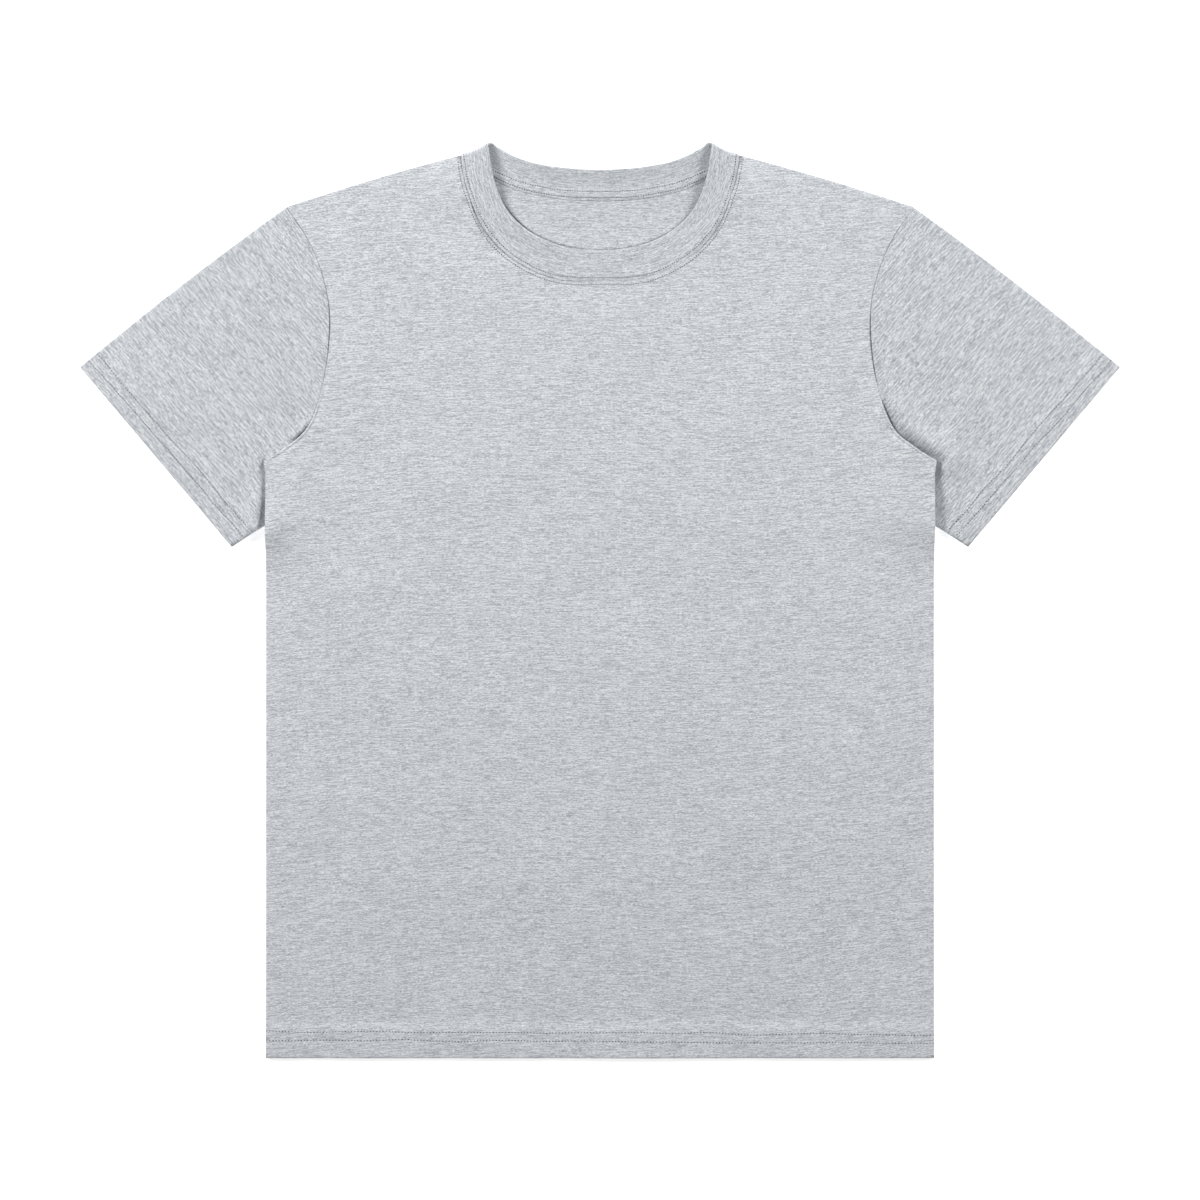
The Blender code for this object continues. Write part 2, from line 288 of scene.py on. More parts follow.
def closed(outline):
    return np.vstack([outline, outline[:1]])


def joined(lines):
    """One closed outline from lines that follow each other, with each shared corner once."""
    points = np.vstack([evenly(line, SPACING) for line in lines])
    step = np.linalg.norm(points - np.roll(points, 1, axis=0), axis=1)
    return points[step > GAP / 2]


def inner_rows(lines, outline):
    """Rows of points just inside each line of an outline, where the cloth's edge is rounded."""
    rows = []
    for depth in EDGE_ROWS:
        for line in lines:
            row = beside(evenly(line, SPACING), depth)
            rows.append(row[away(row, closed(outline)) > depth * ROW_CLEAR])
    return rows


def filled(outline, rows):
    """Triangles over an outline: on its points, the rows' points and an even scatter between."""
    low, high = outline.min(axis=0), outline.max(axis=0)
    x, y = np.meshgrid(
        np.arange(low[0], high[0], SPACING), np.arange(low[1], high[1], SPACING * ROW_HEIGHT)
    )
    x[1::2] += SPACING / 2
    scatter = np.column_stack([x.ravel(), y.ravel()])
    scatter = scatter[inside(scatter, outline)]
    rows = np.vstack(rows)
    fixed = np.vstack([outline, rows[inside(rows, outline)]])
    tree = KDTree(len(fixed))
    for index, point in enumerate(fixed):
        tree.insert((*point, 0), index)
    tree.balance()
    clear = [tree.find((*point, 0))[2] > CLEAR * SPACING for point in scatter]
    points = [Vector(point) for point in np.vstack([fixed, scatter[clear]])]
    count = len(outline)
    edges = [(i, (i + 1) % count) for i in range(count)]
    found = delaunay_2d_cdt(points, edges, [], TRIANGLES_INSIDE, SAME_POINT)
    return np.array([tuple(point) for point in found[0]]), np.array(found[2])


def waves(points, length, seed):
    """A smooth uneven surface about 1 high, of waves of one rough length in all directions."""
    chance = np.random.default_rng(seed)
    total = np.zeros(len(points))
    for _ in range(WAVE_COUNT):
        turn = chance.uniform(0, 2 * math.pi)
        pace = 2 * math.pi / (length * chance.uniform(*WAVE_SPREAD))
        start = chance.uniform(0, 2 * math.pi)
        total += np.sin(points @ (math.cos(turn), math.sin(turn)) * pace + start)
    return total / math.sqrt(WAVE_COUNT / 2)


def wavy(points, seed):
    return sum(height * waves(points, length, seed + i) for i, (length, height) in enumerate(WAVES))


def creased(points, creases):
    """The height that creases add at each point."""
    height = np.zeros(len(points))
    for crease in creases:
        turn = math.radians(crease.turn)
        offset = points - (crease.x, crease.y)
        along = offset @ (math.cos(turn), math.sin(turn)) / crease.length
        across = offset @ (-math.sin(turn), math.cos(turn)) / crease.width
        bent = across + CREASE_BEND * along**2
        height += crease.rise * np.exp(-bent**2 - along**4)
    return height


def ridged(points, line, ridges):
    """The height that ridges beside a seam add at each point."""
    distance = away(points, line)
    return sum(r.rise * np.exp(-((distance - r.distance) / r.width) ** 2) for r in ridges)


def lifted(points, lifts):
    """The height that round lifts add at each point."""
    squares = [((points - (lift.x, lift.y)) ** 2).sum(axis=1) / lift.reach**2 for lift in lifts]
    return sum(lift.rise * np.exp(-square) for lift, square in zip(lifts, squares))


def one_side(points):
    """The points with those of the other side mirrored onto this one."""
    return np.column_stack([np.abs(points[:, 0]), points[:, 1]])


def edge_drop(distance):
    """How far a rounded edge has dropped at this distance from it."""
    share = np.clip(1 - distance / EDGE_ROUND, 0, 1)
    return EDGE_DROP * (1 - np.sqrt(1 - share**2))


def grooved(points, rows):
    """How far the coverstitch pulls the cloth in at each point."""
    return sum(GROOVE_DEPTH * np.exp(-(away(points, row) / GROOVE_WIDTH) ** 2) for row in rows)


def beside_rows(rows):
    """Rows of points on and beside each row of stitches, for its groove."""
    return [beside(row, side * ROW_REACH) for row in rows for side in (-1, 0, 1)]


def ring_half():
    """The neckband's stations, from the centre front round one side to the centre back."""
    before, after = np.array([BAND_FRONT[1], BAND_BACK[-2]]) * MIRRORED
    front = through([before, *BAND_FRONT], STEPS_A_STATION)[STEPS_A_STATION:]
    back = through([*BAND_BACK, after], STEPS_A_STATION)[:-STEPS_A_STATION]
    seam, edge = front[-1, :2], front[-1, 3:5]
    out = np.array([edge[1] - seam[1], seam[0] - edge[0], 0])
    out *= (front[-1, 2] - back[0, 2]) / 2 / np.linalg.norm(out)
    fold = []
    for turn in np.linspace(0, math.pi, FOLD_STEPS + 2)[1:-1]:
        share = (1 - math.cos(turn)) / 2
        station = front[-1] + (back[0] - front[-1]) * share
        fold.append(station + np.tile(out * math.sin(turn), 2))
    return np.vstack([front, fold, back])


def hem_layers(points):
    """2 in the hem, where the cloth is turned up, and 1 above it."""
    return 1 + fade(points[:, 1] - HEM_Y, HEM_DEPTH, HEM_STEP)


def over_sleeve(points, flat, reach):
    """The height that carries a panel over the tucked part of a sleeve, fading beyond it."""
    mirrored = one_side(points)
    tucked = np.array([UNDERARM, TUCK, TUCK_CROSSING])
    distance = np.where(inside(mirrored, tucked), 0, away(mirrored, closed(tucked)))
    return (2 * CLOTH + 2 * GAP) * fade(distance, flat, reach)


def body_lift(points):
    """How far the body panels rise over the tucked part of the sleeves and at the underarms."""
    return over_sleeve(points, TUCKED_FLAT, TUCKED_FADE) + lifted(points, UNDERARM_LIFTS)


def neck_climb(points):
    """How far the front climbs to the neckband, which lies on the tape at each side."""
    mirrored = one_side(points)
    distance = np.linalg.norm(mirrored - NECK_SIDE, axis=1)
    slope = (NECK_POINT[1] - SHOULDER_TIP[1]) / (SHOULDER_TIP[0] - NECK_POINT[0])
    below = NECK_POINT[1] - slope * (mirrored[:, 0] - NECK_POINT[0]) - mirrored[:, 1]
    from_shoulder = 1 - fade(below, 0, SHOULDER_FADE)
    side = NECK_SIDE_CLIMB * fade(distance, NECK_SIDE_FLAT, NECK_SIDE_FADE) * from_shoulder
    seam = NECK_SEAM_CLIMB * fade(away(mirrored, front_seam), 0, NECK_SEAM_REACH) * from_shoulder
    return side + seam


def front_level(points):
    """The front's upper surface, before its edges are rounded."""
    layers = CLOTH * hem_layers(points) * 2 + GAP
    in_hem = fade(points[:, 1] - HEM_Y, HEM_DEPTH / 2, HEM_DEPTH / 2)
    length, height = PUCKERS
    puckers = height * in_hem * waves(points * (1, PUCKER_STRETCH), length, seed=31)
    relief = wavy(points, seed=3) + creased(points, FRONT_CREASES) + puckers
    broad = np.abs(waves(points, STAND_LENGTH, seed=9))
    stand = STAND_RISE * (1 - fade(broad, STAND_FLAT, STAND_FADE))
    air = FRONT_AIR * (1 - fade(away(one_side(points), front_seam), 0, FRONT_AIR_FADE))
    relief = np.maximum(relief, DEEPEST_TROUGH) + stand + air
    resting = REST_SOFTNESS * np.logaddexp(relief / REST_SOFTNESS, -GAP / REST_SOFTNESS)
    return layers + body_lift(points) + neck_climb(points) + resting


def body_lines(neck):
    """The lines of a body panel's outline, anticlockwise from the middle of the hem."""
    half = [hem_edge, side_seam + [UNDERARM], armhole_seam[::-1], shoulder_seam, neck]
    return half + [np.array(line)[::-1] * (-1, 1) for line in half[::-1]]


def rounded(points):
    """How far a body panel's hem, side seams and shoulder seams are rounded at each point."""
    mirrored = one_side(points)
    lines = (hem_edge, side_seam, shoulder_seam)
    return edge_drop(np.min([away(mirrored, np.array(line)) for line in lines], axis=0))


def hem_rows():
    """The hem's two rows of stitches, which wander a little."""
    end = HALF_CHEST - CLOTH
    x = np.linspace(-end, end, round(HALF_CHEST / SPACING) * HEM_ROW_FINENESS)
    base = HEM_Y - HEM_DRIFT * x / HALF_CHEST
    rows = []
    for number, height in enumerate(HEM_ROWS):
        places = np.column_stack([x, 0 * x])
        wander = HEM_WANDER * waves(places, HEM_WANDER_LENGTH, seed=40 + number)
        rows.append(np.column_stack([x, base + height + wander]))
    return rows


def body_map(points, shift):
    """A body panel's own map, in metres: along the courses of the knit, then across them.

    The shift keeps the fibres of one piece from matching those of another.
    """
    climb = np.zeros(len(points))
    for side, steepness in COURSE_CLIMB:
        climb += steepness * np.maximum(points[:, 0] * side - COURSE_LEVEL, 0) ** 2
    return points - np.column_stack([0 * climb, climb]) + shift


def added(name, data):
    """A new object in the scene, of this mesh, lamp or camera."""
    made = bpy.data.objects.new(name, data)
    bpy.context.scene.collection.objects.link(made)
    return made


def sheet(name, vertices, faces, corner_places, look, layers=None):
    """An object from an open or closed surface, with its map called courses."""
    mesh = bpy.data.meshes.new(name)
    mesh.from_pydata(vertices.tolist(), [], faces.tolist())
    mesh.materials.append(look)
    courses = mesh.uv_layers.new(name="courses")
    courses.data.foreach_set("uv", np.asarray(corner_places, np.float32).ravel())
    mesh.shade_smooth()
    made = added(name, mesh)
    if layers is not None:
        group = made.vertex_groups.new(name="layers")
        for index, share in enumerate(layers):
            group.add([index], float(share), "REPLACE")
    return made


def thickened(made, offset):
    """Gives a sheet its thickness, less where the group layers says so, and keeps the result."""
    shell = made.modifiers.new("thickness", "SOLIDIFY")
    shell.thickness = 2 * CLOTH
    shell.offset = offset
    shell.use_even_offset = True
    shell.vertex_group = "layers"
    settled(made)


def panel(name, points, heights, faces, shift, look, offset):
    """A body panel. Its heights are its outer side's, and offset is the way in: -1 down, 1 up."""
    vertices = np.column_stack([points, heights])
    places = body_map(points, shift)[faces]
    made = sheet(name, vertices, faces, places, look, hem_layers(points) / 2)
    thickened(made, offset)
    return made


def settled(made):
    """Puts an object's modifiers into its mesh."""
    bpy.context.view_layer.update()
    graph = bpy.context.evaluated_depsgraph_get()
    mesh = bpy.data.meshes.new_from_object(made.evaluated_get(graph))
    made.modifiers.clear()
    made.data = mesh


# A colour mix's sockets go by number, because its sockets for numbers have the same names
MIX_FROM = 6
MIX_TO = 7
MIX_COLOUR = 2


class Wire:
    """A socket in a node tree. Sums on it add Math nodes to the tree."""

    def __init__(self, tree, socket=None):
        self.tree, self.socket = tree, socket

    def node(self, kind, settings=None, values=None, output=0):
        """A new node: its settings first, then its values or links. It gives one output."""
        made = self.tree.nodes.new(kind)
        for name, setting in (settings or {}).items():
            setattr(made, name, setting)
        for name, value in (values or {}).items():
            if isinstance(value, Wire):
                self.tree.links.new(value.socket, made.inputs[name])
            else:
                made.inputs[name].default_value = value
        return Wire(self.tree, made.outputs[output])

    def noise(self, scale, **shape):
        """A soft random pattern over this place, from 0 to 1. The scale is in spots a metre."""
        values = {"Vector": self, "Scale": scale, **shape}
        return self.node("ShaderNodeTexNoise", values=values)

    def math(self, operation, first, second=0.0):
        return self.node("ShaderNodeMath", {"operation": operation}, {0: first, 1: second})

    def part(self, output):
        return Wire(self.tree, self.socket.node.outputs[output])

    def to(self, socket):
        self.tree.links.new(self.socket, socket)

    def __add__(self, other):
        return self.math("ADD", self, other)

    def __radd__(self, other):
        return self.math("ADD", other, self)

    def __sub__(self, other):
        return self.math("SUBTRACT", self, other)

    def __rsub__(self, other):
        return self.math("SUBTRACT", other, self)

    def __mul__(self, other):
        return self.math("MULTIPLY", self, other)

    def __rmul__(self, other):
        return self.math("MULTIPLY", other, self)

    def above(self, low, high):
        """0 up to low, then smoothly up to 1 at high."""
        return self.node(
            "ShaderNodeMapRange",
            {"interpolation_type": "SMOOTHSTEP"},
            {"Value": self, "From Min": low, "From Max": high},
        )

    def colour(self, low, high):
        """The colour that is this share of the way from low to high."""
        return self.node(
            "ShaderNodeMix",
            {"data_type": "RGBA", "clamp_factor": True},
            {"Factor": self, MIX_FROM: low, MIX_TO: high},
            output=MIX_COLOUR,
        )


def material(name, constants):
    """A new material, its Principled shader with these constants, and the start of its nodes."""
    made = bpy.data.materials.new(name)
    made.use_nodes = True
    shader = made.node_tree.nodes["Principled BSDF"]
    for socket, value in constants.items():
        shader.inputs[socket].default_value = value
    return made, shader, Wire(made.node_tree)


# Fibres in the yarn: a length, a thickness, a strength, and a shift between the layers of them
Fibre = namedtuple("Fibre", "length thickness strength shift")
FIBRES = [
    Fibre(0.0042, 0.00066, 0.95, 0.0),
    Fibre(0.0110, 0.00072, 0.86, 3.7),
    Fibre(0.0017, 0.00045, 1.25, 8.1),
]
FIBRE_ROUGHNESS = 0.55

# How the courses drift, soft clouds in the mix, and the colour and roughness of the fibres
COURSE_DRIFT = 0.0035
COURSE_DRIFT_SCALE = 9.0
CLOUD_SCALE = 45.0
CLOUD_STRENGTH = 0.03
DARK_FIBRE = (0.335, 0.361, 0.396, 1)
PALE_FIBRE = (0.768, 0.783, 0.800, 1)
DARK_ROUGHNESS = 0.94
PALE_SMOOTHER = 0.12
CLOTH_SHINE = {"Sheen Weight": 0.10, "Sheen Roughness": 0.5, "Specular IOR Level": 0.15}

# The knit's loops: a course's height, a wale's width, and how far loops and fibres stand out
COURSE = 0.00070
WALE = 0.00095
KNIT_RELIEF = 0.00012
FIBRE_RELIEF = 0.35
RELIEF_STRENGTH = 0.6
HALF_LOOP = 0.5


def heather(name, tone=1.0, drift=COURSE_DRIFT, fineness=1.0, contrast=1.0):
    """Jersey of pale and dark fibres, which lie in short streaks along the courses."""
    made, shader, start = material(name, CLOTH_SHINE)
    place = start.node("ShaderNodeUVMap", {"uv_map": "courses"})
    x = place.node("ShaderNodeSeparateXYZ", values={"Vector": place})
    y = x.part("Y")
    bend = place.noise(COURSE_DRIFT_SCALE, Detail=1.0)
    y = y + (bend - 0.5) * (2 * drift)
    mix = 0.5
    for fibre in FIBRES:
        spot = x.node(
            "ShaderNodeCombineXYZ",
            values={
                "X": x * (fineness / fibre.length),
                "Y": y * (fineness / fibre.thickness),
                "Z": fibre.shift,
            },
        )
        streak = spot.noise(1.0, Detail=2.0, Roughness=FIBRE_ROUGHNESS)
        mix = mix + (streak - 0.5) * (fibre.strength * contrast * 2)
    cloud = place.noise(CLOUD_SCALE, Detail=3.0)
    mix = mix + (cloud - 0.5) * (2 * CLOUD_STRENGTH)
    colour = mix.colour(DARK_FIBRE, PALE_FIBRE)
    toned = colour.node(
        "ShaderNodeVectorMath", {"operation": "SCALE"}, {0: colour, "Scale": tone}
    )
    toned.to(shader.inputs["Base Color"])
    (DARK_ROUGHNESS - mix * PALE_SMOOTHER).to(shader.inputs["Roughness"])

    # Each loop of the knit is a small V, so the courses zigzag from wale to wale.
    zigzag = x.math("PINGPONG", x * (1 / WALE), HALF_LOOP)
    loops = x.math("PINGPONG", y * (1 / COURSE) + zigzag, HALF_LOOP)
    height = loops * KNIT_RELIEF + mix * (KNIT_RELIEF * FIBRE_RELIEF)
    bump = height.node(
        "ShaderNodeBump",
        values={"Height": height, "Strength": RELIEF_STRENGTH, "Distance": 1.0},
    )
    bump.to(shader.inputs["Normal"])
    return made


ring = ring_half()
front_stations = len(BAND_FRONT) * STEPS_A_STATION - STEPS_A_STATION + 1
front_seam = ring[:front_stations, :2]
back_seam = ring[front_stations + FOLD_STEPS:, :2]

hem_edge = [(0, HEM_Y), (HALF_CHEST, HEM_Y)]
side_seam = [(HALF_CHEST, HEM_Y), (HALF_CHEST, SIDE_SEAM_TOP)]
armhole_seam = through(ARMHOLE, STEPS_A_STATION)
shoulder_seam = bowed(SHOULDER_TIP, NECK_POINT, -SHOULDER_BOW)
front_lines = body_lines(np.vstack([NECK_POINT, beside(front_seam, -SEAM)[::-1]]))
front_outline = joined(front_lines)
hem_stitch_rows = hem_rows()
half_neck_row = evenly(beside(front_seam, -NECK_ROW), SPACING)[:-1]
neck_stitch_row = np.vstack([half_neck_row[:0:-1] * (-1, 1), half_neck_row])
front_rows = inner_rows(front_lines, front_outline)
front_rows += beside_rows(hem_stitch_rows + [neck_stitch_row])
front_points, front_faces = filled(front_outline, front_rows)


def front_top(points):
    """The front's upper surface, with its rounded edges and the grooves of its stitches."""
    cuts = grooved(points, hem_stitch_rows + [neck_stitch_row])
    seams = ridged(one_side(points), armhole_seam, SEAM_RIDGES)
    seams *= 1 + RIDGES_UNDER_ARM * fade(points[:, 1], UNDER_ARM_Y, UNDER_ARM_FADE)
    clear = fade(points[:, 0], NECK_SEAM_CLEAR_X, NECK_SEAM_FADE)
    clear = NECK_SEAM_FAINT + (1 - NECK_SEAM_FAINT) * clear
    seams += ridged(one_side(points), front_seam, SEAM_RIDGES[:1]) * clear
    return front_level(points) - rounded(points) - cuts + seams


front = panel(
    "front_panel", front_points, front_top(front_points), front_faces, shift=(1.0, 1.0),
    look=heather("heather jersey"), offset=-1,
)

# Grey polyester thread holds the hems, the neck seam and the tape. Each stitch is a short bead of
# thread lying in its groove between two holes of the needle, and each hole is a dark bead of painted
# shade.
Bead = namedtuple("Bead", "length width height wander")
Stitch = namedtuple("Stitch", "pitch thread hole")
HEM_STITCH = Stitch(
    0.0024, Bead(0.0014, 0.00042, 0.00030, 0.00007), Bead(0.00105, 0.00084, 0.00022, 0.00012)
)
NECK_STITCH = Stitch(
    0.0019, Bead(0.0010, 0.00042, 0.00030, 0.00007), Bead(0.00098, 0.000882, 0.00026, 0.00012)
)
STITCH_RISE = 0.00006
ABOVE_ALL = 0.05

# A bead's facets, its random size as shares of the whole, and its wander out of the cloth
BEAD_FACETS = {"Segments": 8, "Rings": 5, "Radius": 0.5}
BEAD_LEAST = (0.78, 0.8, 0.8)
BEAD_MOST = (1.15, 1.15, 1.15)
WANDER_OUT = 0.3

# The trim node's start and end as lengths go by number, because its shares have the same names
TRIM_START = 4
TRIM_END = 5

# The thread's shade and roughness, with what its twist adds to each, and the painted shades of a hole
THREAD_TWIST_SCALE = 1500.0
THREAD_SHADE = 0.46
THREAD_TWIST_SHADE = 0.24
THREAD_TINT = (1.0, 1.03, 1.05)
THREAD_ROUGHNESS = 0.55
THREAD_TWIST_ROUGHNESS = 0.2
HOLE_SCALE = 240.0
HOLE_RANGE = (0.35, 0.65)
PAINTED_HOLE_DARK = (0.03, 0.033, 0.036, 1)
PAINTED_HOLE_PALE = (0.14, 0.15, 0.16, 1)


def stitch_tree():
    """Follows each path with small beads, a stitch apart, turned to lie along it."""
    tree = bpy.data.node_groups.new("stitches along a path", "GeometryNodeTree")
    inputs = (
        ("Geometry", "NodeSocketGeometry"), ("Stitch", "NodeSocketFloat"),
        ("Start", "NodeSocketFloat"), ("Length", "NodeSocketFloat"),
        ("Width", "NodeSocketFloat"), ("Height", "NodeSocketFloat"),
        ("Wander", "NodeSocketFloat"), ("Seed", "NodeSocketInt"),
        ("Material", "NodeSocketMaterial"),
    )
    for name, kind in inputs:
        tree.interface.new_socket(name, in_out="INPUT", socket_type=kind)
    tree.interface.new_socket("Geometry", in_out="OUTPUT", socket_type="NodeSocketGeometry")
    given = Wire(tree).node("NodeGroupInput")
    curve = given.node("GeometryNodeMeshToCurve", values={"Mesh": given.part("Geometry")})
    whole = given.node("GeometryNodeSplineLength")
    trimmed = curve.node(
        "GeometryNodeTrimCurve",
        {"mode": "LENGTH"},
        {"Curve": curve, TRIM_START: given.part("Start"), TRIM_END: whole - given.part("Start")},
    )
    points = trimmed.node(
        "GeometryNodeCurveToPoints",
        {"mode": "LENGTH"},
        {"Curve": trimmed, "Length": given.part("Stitch")},
    )
    along = points.node(
        "FunctionNodeAlignRotationToVector", {"axis": "X"}, {"Vector": points.part("Tangent")}
    )
    up = points.node(
        "GeometryNodeInputNamedAttribute", {"data_type": "FLOAT_VECTOR"}, {"Name": "up"}
    )
    turned = along.node(
        "FunctionNodeAlignRotationToVector",
        {"axis": "Z", "pivot_axis": "X"},
        {"Rotation": along, "Vector": up},
    )
    reach = given.part("Wander")
    spread = given.node(
        "ShaderNodeCombineXYZ", values={"X": reach, "Y": reach, "Z": reach * WANDER_OUT}
    )
    back = spread.node("ShaderNodeVectorMath", {"operation": "SCALE"}, {0: spread, "Scale": -1.0})
    shift = given.node(
        "FunctionNodeRandomValue",
        {"data_type": "FLOAT_VECTOR"},
        {"Min": back, "Max": spread, "Seed": given.part("Seed")},
    )
    placed = points.node("GeometryNodeSetPosition", values={"Geometry": points, "Offset": shift})
    size = given.node(
        "FunctionNodeRandomValue",
        {"data_type": "FLOAT_VECTOR"},
        {"Min": BEAD_LEAST, "Max": BEAD_MOST, "Seed": given.part("Seed")},
    )
    ball = given.node("GeometryNodeMeshUVSphere", values=BEAD_FACETS)
    shape = given.node(
        "ShaderNodeCombineXYZ",
        values={"X": given.part("Length"), "Y": given.part("Width"), "Z": given.part("Height")},
    )
    bead = ball.node("GeometryNodeTransform", values={"Geometry": ball, "Scale": shape})
    beads = placed.node(
        "GeometryNodeInstanceOnPoints",
        values={"Points": placed, "Instance": bead, "Rotation": turned, "Scale": size},
    )
    real = beads.node("GeometryNodeRealizeInstances", values={"Geometry": beads})
    smooth = real.node("GeometryNodeSetShadeSmooth", values={"Geometry": real})
    looked = smooth.node(
        "GeometryNodeSetMaterial", values={"Geometry": smooth, "Material": given.part("Material")}
    )
    end = tree.nodes.new("NodeGroupOutput")
    looked.to(end.inputs["Geometry"])
    return tree


def path_object(name, paths):
    """A mesh of open paths. A path is rows of a point and the way up out of the cloth there."""
    mesh = bpy.data.meshes.new(name)
    points, edges = [], []
    for path in paths:
        first = len(points)
        points += path[:, :3].tolist()
        edges += [(i, i + 1) for i in range(first, len(points) - 1)]
    mesh.from_pydata(points, edges, [])
    up = mesh.attributes.new("up", "FLOAT_VECTOR", "POINT")
    up.data.foreach_set("vector", np.vstack(paths)[:, 3:].astype(np.float32).ravel())
    return added(name, mesh)


def stitched(name, paths, pitch, start, bead, look, seed):
    """A piece made of beads along paths, as a plain mesh."""
    made = path_object(name, paths)
    modifier = made.modifiers.new("stitches", "NODES")
    modifier.node_group = stitching
    values = {
        "Stitch": pitch, "Start": start, "Length": bead.length, "Width": bead.width,
        "Height": bead.height, "Wander": bead.wander, "Seed": seed, "Material": look,
    }
    for item in stitching.interface.items_tree:
        if item.in_out == "INPUT" and item.name in values:
            modifier[item.identifier] = values[item.name]
    settled(made)
    return made


def lying(piece, row, up=1):
    """A path along a row on a piece: on its upper surface, or on its lower one where up is -1."""
    bpy.context.view_layer.update()
    path = []
    for x, y in row:
        found, place, out, _ = piece.ray_cast((x, y, up * ABOVE_ALL), (0, 0, -up))
        if found:
            path.append((*(place + out * STITCH_RISE), *out))
    return np.array(path)


def thread_look():
    """Pale grey thread, a little mottled by its twist."""
    made, shader, start = material("grey thread", {"Specular IOR Level": 0.3})
    place = start.node("ShaderNodeTexCoord", output="Object")
    twist = place.noise(THREAD_TWIST_SCALE, Detail=1.0)
    shade = THREAD_SHADE + twist * THREAD_TWIST_SHADE
    tints = {axis: shade * tint for axis, tint in zip("XYZ", THREAD_TINT)}
    shade.node("ShaderNodeCombineXYZ", values=tints).to(shader.inputs["Base Color"])
    roughness = THREAD_ROUGHNESS + twist * THREAD_TWIST_ROUGHNESS
    roughness.to(shader.inputs["Roughness"])
    return made


def painted_hole_shade_look():
    """Painted shade in the hole that a needle makes, darker in some than in others."""
    made, shader, start = material("painted needle-hole shade", {"Roughness": 0.95, "Specular IOR Level": 0.05})
    place = start.node("ShaderNodeTexCoord", output="Object")
    shade = place.noise(HOLE_SCALE)
    shade.above(*HOLE_RANGE).colour(PAINTED_HOLE_DARK, PAINTED_HOLE_PALE).to(shader.inputs["Base Color"])
    return made


stitching = stitch_tree()
thread = thread_look()
# This material paints the shade in each hole as a dark colour
hole = painted_hole_shade_look()


def threads_and_hole_shades(name, paths, stitch, seed):
    """The beads of one seam and the painted shade in each hole between them, as two pieces."""
    pitch = stitch.pitch
    beads = stitched(f"{name}_thread", paths, pitch, pitch / 2, stitch.thread, thread, seed)
    # Each hole between the beads is a dark bead of painted shade
    hole_shades = stitched(f"{name}_holes", paths, pitch, 0.0, stitch.hole, hole, seed + 1)
    return [beads, hole_shades]


def on_body(piece, node, stitches):
    """Puts a piece and its stitches on the shirt's one body. The piece stands for its node."""
    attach(piece, "root")
    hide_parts(node)
    for stitch in stitches:
        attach(stitch, "root")


hem_up = [lying(front, row) for row in hem_stitch_rows]
front_hem_stitches = threads_and_hole_shades("front_hem", hem_up, HEM_STITCH, seed=1)
below_seam = [lying(front, neck_stitch_row)]
front_neck_stitches = threads_and_hole_shades("front_neck", below_seam, NECK_STITCH, seed=17)
on_body(front, "front", front_hem_stitches + front_neck_stitches)


# ---- Back panel -----------------------------------------------------------------------------
# The back is cut like the front from the same jersey, with a shallower neck. It lies flat on the
# floor with its outer side down, and its inside shows through the neck.

# Inside the neck the back rolls down to the front band's free edge, most at these places
Roll = namedtuple("Roll", "crest back rise")
BACK_ROLL = Roll(0.0018, 0.012, 0.0016)
BACK_ROLL_ROWS = (0.0002, 0.0006, 0.0010, 0.0014, 0.0018, 0.0024, 0.0036, 0.0056, 0.0080)
BACK_OPENINGS = [
    Lift(-0.062, 0.290, 0.016, 0.9),
    Lift(-0.040, 0.275, 0.014, 1.1),
    Lift(-0.020, 0.268, 0.010, 0.6),
    Lift(0.0008, 0.266, 0.006, 1.2),
    Lift(0.020, 0.268, 0.012, 0.6),
    Lift(0.042, 0.276, 0.014, 0.6),
]

# How near to the armhole seam the back lies down, where it is sewn to the sleeve's lower layer
BACK_SEWN_FLAT = 0.005
BACK_SEWN_FADE = 0.012

band_edge_half = ring[:front_stations, 3:5]
band_edge_line = np.vstack([band_edge_half[:0:-1] * (-1, 1), band_edge_half])
back_lines = body_lines(np.vstack([NECK_POINT, beside(back_seam, SEAM)]))
back_outline = joined(back_lines)
back_rows = inner_rows(back_lines, back_outline) + beside_rows(hem_stitch_rows)
back_rows += [beside(evenly(band_edge_line, SPACING / 2), depth) for depth in BACK_ROLL_ROWS]
back_points, back_faces = filled(back_outline, back_rows)


def back_lift(points):
    """The body's lift, but for the armhole's edge, which lies down against the sleeve."""
    whole = body_lift(points)
    sewn = fade(away(one_side(points), armhole_seam), BACK_SEWN_FLAT, BACK_SEWN_FADE)
    return whole + (over_sleeve(points, 2 * GAP, BACK_SEWN_FLAT) - whole) * sewn


def back_bottom(points):
    """The back's lower surface, flat on the floor except over the sleeves and at its edges."""
    cuts = grooved(points, hem_stitch_rows)
    distance = away(points, band_edge_line)
    opened = np.clip(lifted(points, BACK_OPENINGS), 0, 1) * inside(points, band_edge_line)
    profile = fade(distance, BACK_ROLL.crest, BACK_ROLL.back) - fade(distance, 0, BACK_ROLL.crest)
    roll = BACK_ROLL.rise * opened * profile
    return back_lift(points) + rounded(points) + cuts + roll


# The back's jersey is toned a little darker than the front's, partly for the jersey's inner face and
# partly as painted shade on the inside that shows through the neck.
back = panel(
    "back_panel", back_points, back_bottom(back_points), back_faces, shift=(3.0, 2.0),
    look=heather("heather back jersey", tone=0.94), offset=1,
)

hem_down = [lying(back, row, -1) for row in hem_stitch_rows]
back_hem_stitches = threads_and_hole_shades("back_hem", hem_down, HEM_STITCH, seed=5)
on_body(back, "back", back_hem_stitches)


# ---- Sleeves --------------------------------------------------------------------------------
# Each sleeve is one piece of the same jersey, sewn into a tube under the arm and set into the
# armhole. It lies flattened, with a fold along its top and another under the arm, and its cuff is
# turned in and held by a twin row of coverstitch.

CUFF_TOP = (0.3976, 0.1782)
CUFF_BOTTOM = (0.2814, 0.0405)
CUFF_DEPTH = 0.0200
SLEEVE_TOP_BOW = 0.0020
FOLD_ROUND = 0.0011
FOLD_TURNS = (-50, 0, 50)

